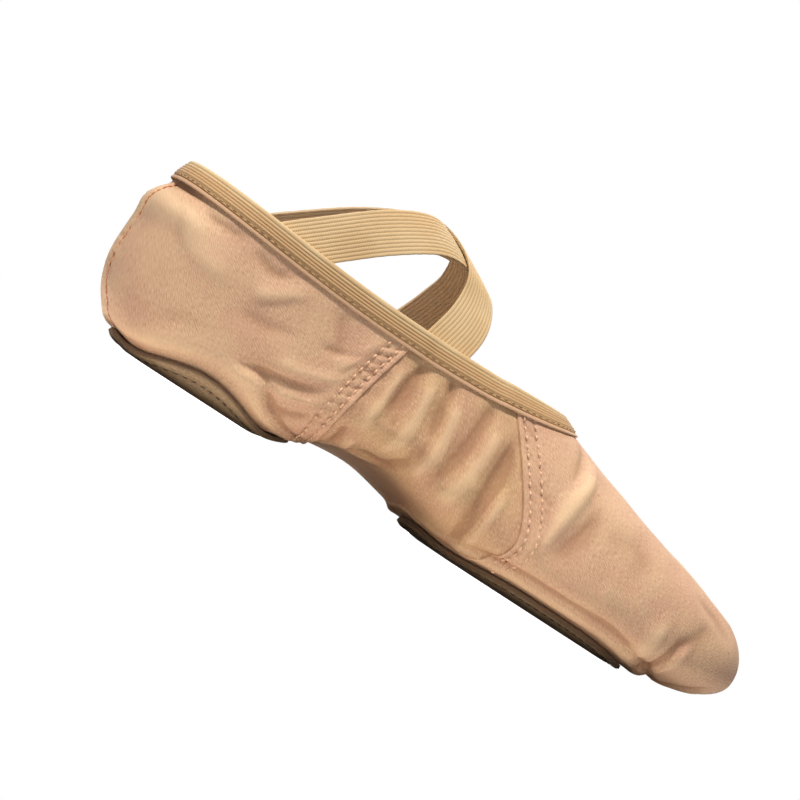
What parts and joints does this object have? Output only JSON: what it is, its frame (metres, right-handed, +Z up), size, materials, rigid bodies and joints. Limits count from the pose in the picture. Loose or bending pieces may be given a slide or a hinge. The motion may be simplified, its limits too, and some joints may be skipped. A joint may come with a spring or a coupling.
{
  "type": "split sole ballet slipper",
  "caption": "Left split-sole ballet slipper of peach stretch canvas, with ribbed elastic collar binding, crossed instep elastics and suede patches under heel and ball.",
  "frame": {"origin": "middle of the footprint's box, on the floor under the sole patches", "axes": "+X from heel to toe, +Y to the outer (little toe) side, +Z up"},
  "size_m": [0.2432, 0.09, 0.0878],
  "materials": {
    "stretch_canvas": "matte",
    "suede": "matte",
    "sock_lining": "matte",
    "ribbed_elastic": "matte"
  },
  "bodies": {
    "root": {"upper": "stretch_canvas", "sole_patch_heel": "suede", "sole_patch_forefoot": "suede", "insole_heel": "sock_lining", "insole_forefoot": "sock_lining", "topline_binding": "ribbed_elastic", "instep_strap_under": "ribbed_elastic", "instep_strap_over": "ribbed_elastic"}
  },
  "joints": []
}
